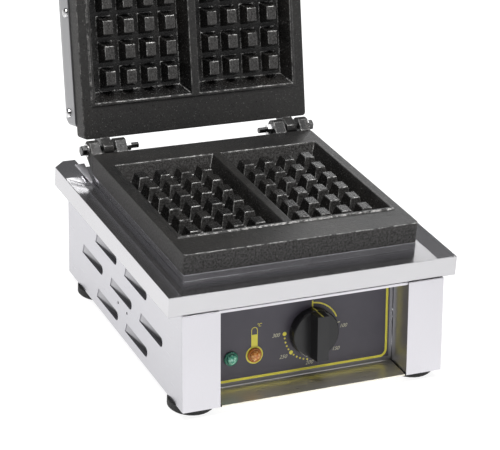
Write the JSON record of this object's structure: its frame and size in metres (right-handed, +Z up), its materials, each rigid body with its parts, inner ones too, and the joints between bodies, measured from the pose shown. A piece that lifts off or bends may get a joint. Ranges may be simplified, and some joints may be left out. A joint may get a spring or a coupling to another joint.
{
  "type": "waffle iron",
  "caption": "Counter-top electric waffle iron: a louvred steel base with a drip tray and dial thermostat, and a hinged lid whose cast plate closes on a fixed one.",
  "frame": {"origin": "on the floor, under the middle of the bounding box with the lid open", "axes": "+X to the operator's right, +Y to the back, where the hinge is, +Z up"},
  "size_m": [0.305, 0.4383, 0.4497],
  "materials": {
    "drip_tray": "satin stainless sheet",
    "plate_pedestal": "satin stainless sheet",
    "casing": "satin stainless sheet",
    "front_strip_left": "satin stainless sheet",
    "front_strip_right": "satin stainless sheet",
    "recess_lip": "satin stainless sheet",
    "recess_ledge": "brushed stainless sheet",
    "bottom_pan": "plain stainless sheet",
    "rear_guard_left": "bright bent sheet",
    "rear_guard_right": "bright bent sheet",
    "lower_plate": "black seasoned casting",
    "upper_plate": "black seasoned casting",
    "lower_heater": "heat-stained sheathed element",
    "upper_heater": "heat-stained sheathed element",
    "lower_insulation": "fibre board",
    "upper_insulation": "fibre board",
    "terminal_block": "glazed porcelain",
    "cord_gland": "black nylon",
    "control_panel": "plain sheet",
    "panel_label": "slate film with a yellow border",
    "green_lamp_holder": "black",
    "amber_lamp_holder": "black",
    "green_lamp_lens": "clear green",
    "amber_lamp_lens": "clear amber",
    "thermostat_body": "steatite body",
    "thermostat_probe": "bright capillary tube",
    "thermostat_shaft": "plain steel",
    "knob": "black satin",
    "lid_cover": "satin stainless sheet",
    "grip": "black heat-proof",
    "cover_screw_left_front": "plated steel",
    "foot_front_left": "black moulded",
    "foot_screw_front_left": "plated steel",
    "cover_screw_left_rear": "plated steel",
    "foot_rear_left": "black moulded",
    "foot_screw_rear_left": "plated steel",
    "handle_arm_left": "satin stainless bar",
    "grip_bolt_left": "plated steel",
    "arm_screw_left": "plated steel",
    "hinge_bolt_left": "plated steel",
    "hinge_washer_left": "plated steel",
    "hinge_nut_left": "plated steel",
    "cover_screw_right_front": "plated steel",
    "foot_front_right": "black moulded",
    "foot_screw_front_right": "plated steel",
    "cover_screw_right_rear": "plated steel",
    "foot_rear_right": "black moulded",
    "foot_screw_rear_right": "plated steel",
    "handle_arm_right": "satin stainless bar",
    "grip_bolt_right": "plated steel",
    "arm_screw_right": "plated steel",
    "hinge_bolt_right": "plated steel",
    "hinge_washer_right": "plated steel",
    "hinge_nut_right": "plated steel"
  },
  "bodies": {
    "base": {"drip_tray": "drip_tray", "plate_pedestal": "plate_pedestal", "casing": "casing", "front_strip_left": "front_strip_left", "front_strip_right": "front_strip_right", "recess_lip": "recess_lip", "recess_ledge": "recess_ledge", "bottom_pan": "bottom_pan", "rear_guard_left": "rear_guard_left", "rear_guard_right": "rear_guard_right", "lower_plate": "lower_plate", "lower_heater": "lower_heater", "lower_insulation": "lower_insulation", "terminal_block": "terminal_block", "cord_gland": "cord_gland", "control_panel": "control_panel", "panel_label": "panel_label", "green_lamp_holder": "green_lamp_holder", "amber_lamp_holder": "amber_lamp_holder", "green_lamp_lens": "green_lamp_lens", "amber_lamp_lens": "amber_lamp_lens", "thermostat_body": "thermostat_body", "thermostat_probe": "thermostat_probe", "foot_front_left": "foot_front_left", "foot_screw_front_left": "foot_screw_front_left", "foot_rear_left": "foot_rear_left", "foot_screw_rear_left": "foot_screw_rear_left", "hinge_bolt_left": "hinge_bolt_left", "hinge_washer_left": "hinge_washer_left", "hinge_nut_left": "hinge_nut_left", "foot_front_right": "foot_front_right", "foot_screw_front_right": "foot_screw_front_right", "foot_rear_right": "foot_rear_right", "foot_screw_rear_right": "foot_screw_rear_right", "hinge_bolt_right": "hinge_bolt_right", "hinge_washer_right": "hinge_washer_right", "hinge_nut_right": "hinge_nut_right"},
    "lid": {"upper_plate": "upper_plate", "upper_heater": "upper_heater", "upper_insulation": "upper_insulation", "lid_cover": "lid_cover", "grip": "grip", "cover_screw_left_front": "cover_screw_left_front", "cover_screw_left_rear": "cover_screw_left_rear", "handle_arm_left": "handle_arm_left", "grip_bolt_left": "grip_bolt_left", "arm_screw_left": "arm_screw_left", "cover_screw_right_front": "cover_screw_right_front", "cover_screw_right_rear": "cover_screw_right_rear", "handle_arm_right": "handle_arm_right", "grip_bolt_right": "grip_bolt_right", "arm_screw_right": "arm_screw_right"},
    "control_knob": {"knob": "knob", "thermostat_shaft": "thermostat_shaft"}
  },
  "joints": [
    {"name": "lid_hinge", "type": "hinge", "parent": "base", "child": "lid", "pos_m": [0, 0.0886, 0.1502], "axis": [1, 0, 0], "range_deg": [0, 105]},
    {"name": "thermostat_turn", "type": "hinge", "parent": "base", "child": "control_knob", "pos_m": [0.0105, -0.18119, 0.0541], "axis": [0, 0.991, -0.1338], "range_deg": [0, 275]}
  ]
}
